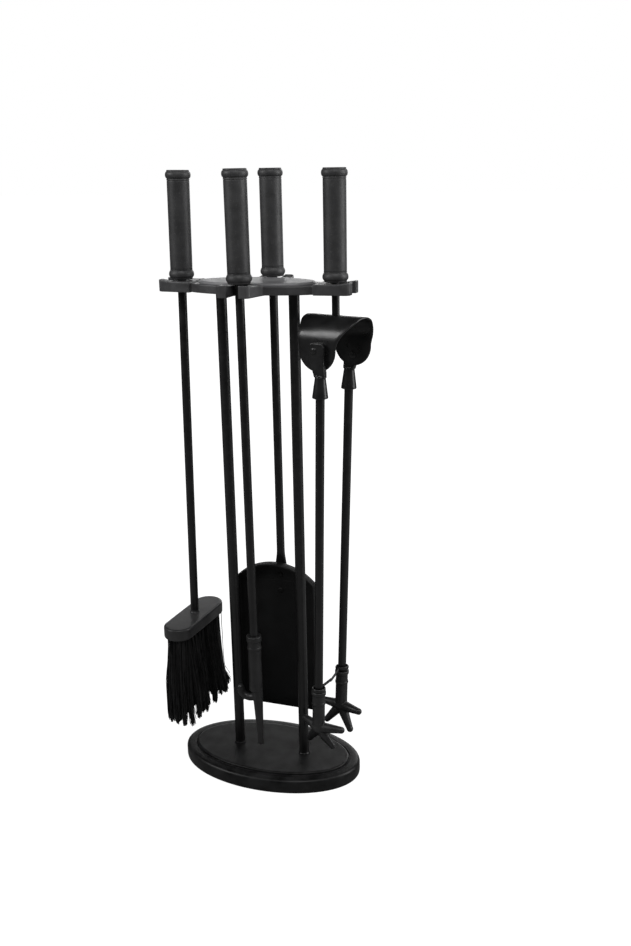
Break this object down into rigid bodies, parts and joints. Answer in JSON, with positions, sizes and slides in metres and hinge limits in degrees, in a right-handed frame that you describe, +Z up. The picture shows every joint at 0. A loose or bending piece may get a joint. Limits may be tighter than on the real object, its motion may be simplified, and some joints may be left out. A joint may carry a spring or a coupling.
{
  "type": "fireplace tool set",
  "caption": "Black fireplace tool set: an oval base, upright posts and a forked hanger, from which a brush, a poker, a shovel and spring tongs hang and lift off.",
  "frame": {"origin": "centre of the oval base, on the floor", "axes": "+Z up, X along the base's long axis with the brush at -X and the tongs at +X, and the poker at -Y, which is the front"},
  "size_m": [0.2621, 0.142, 0.762],
  "materials": {
    "cast": "satin black paint over a cast surface",
    "cover": "satin black paint over rolled sheet",
    "posts": "satin black paint",
    "fasteners": "bright zinc, a little dull",
    "grips": "satin black paint, slightly glossier on the beads",
    "rods": "satin black paint",
    "heads": "satin black paint over a cast surface",
    "pan": "matt black paint over pressed sheet",
    "band": "satin black paint over spring steel",
    "bristles": "stiff black fibre, cut ends",
    "tie": "black covered wire"
  },
  "bodies": {
    "stand": {"base": "cast", "base_bolts": "fasteners", "base_washers": "fasteners", "left_post": "posts", "right_post": "posts", "hanger": "cast", "hanger_screws": "fasteners", "hanger_cover": "cover"},
    "brush": {"brush_sleeve": "grips", "brush_top_cap": "grips", "brush_collar": "grips", "brush_rod": "rods", "brush_block": "heads", "brush_bristles": "bristles"},
    "poker": {"poker_sleeve": "grips", "poker_top_cap": "grips", "poker_collar": "grips", "poker_rod": "rods", "poker_head": "heads"},
    "shovel": {"shovel_sleeve": "grips", "shovel_top_cap": "grips", "shovel_collar": "grips", "shovel_rod": "rods", "shovel_pan": "pan", "shovel_rivets": "pan"},
    "tongs": {"tongs_sleeve": "grips", "tongs_top_cap": "grips", "tongs_collar": "grips", "tongs_rod": "rods", "tongs_band": "band", "tongs_nut": "band"},
    "near_arm": {"near_tongue": "band", "near_rivet": "band", "near_rod": "rods", "near_claw": "heads", "claw_tie": "tie"},
    "far_arm": {"far_tongue": "band", "far_rivet": "band", "far_rod": "rods", "far_claw": "heads"}
  },
  "joints": [
    {"name": "brush_lift", "type": "slide", "parent": "stand", "child": "brush", "axis": [-0.9511, 0, 0.309], "range_m": [0, 0.15]},
    {"name": "poker_lift", "type": "slide", "parent": "stand", "child": "poker", "axis": [0, -0.9511, 0.309], "range_m": [0, 0.15]},
    {"name": "shovel_lift", "type": "slide", "parent": "stand", "child": "shovel", "axis": [0, 0.9511, 0.309], "range_m": [0, 0.15]},
    {"name": "tongs_lift", "type": "slide", "parent": "stand", "child": "tongs", "axis": [0.9511, 0, 0.309], "range_m": [0, 0.15]},
    {"name": "near_arm_flex", "type": "hinge", "parent": "tongs", "child": "near_arm", "pos_m": [0.09051, -0.01908, 0.5918], "axis": [0.9636, -0.2672, 0], "range_deg": [0, 2.1], "stiffness_Nm_per_rad": 20, "springref_deg": -0.57, "deforming": ["tongs_band", "claw_tie"]},
    {"name": "far_arm_flex", "type": "hinge", "parent": "tongs", "child": "far_arm", "pos_m": [0.10109, 0.01908, 0.5918], "axis": [0.9636, -0.2672, 0], "range_deg": [-2.1, 0], "stiffness_Nm_per_rad": 20, "springref_deg": 0.57, "deforming": ["tongs_band"]}
  ],
  "couplings": [
    {"joint": "far_arm_flex", "follows": "near_arm_flex", "ratio": -1}
  ]
}
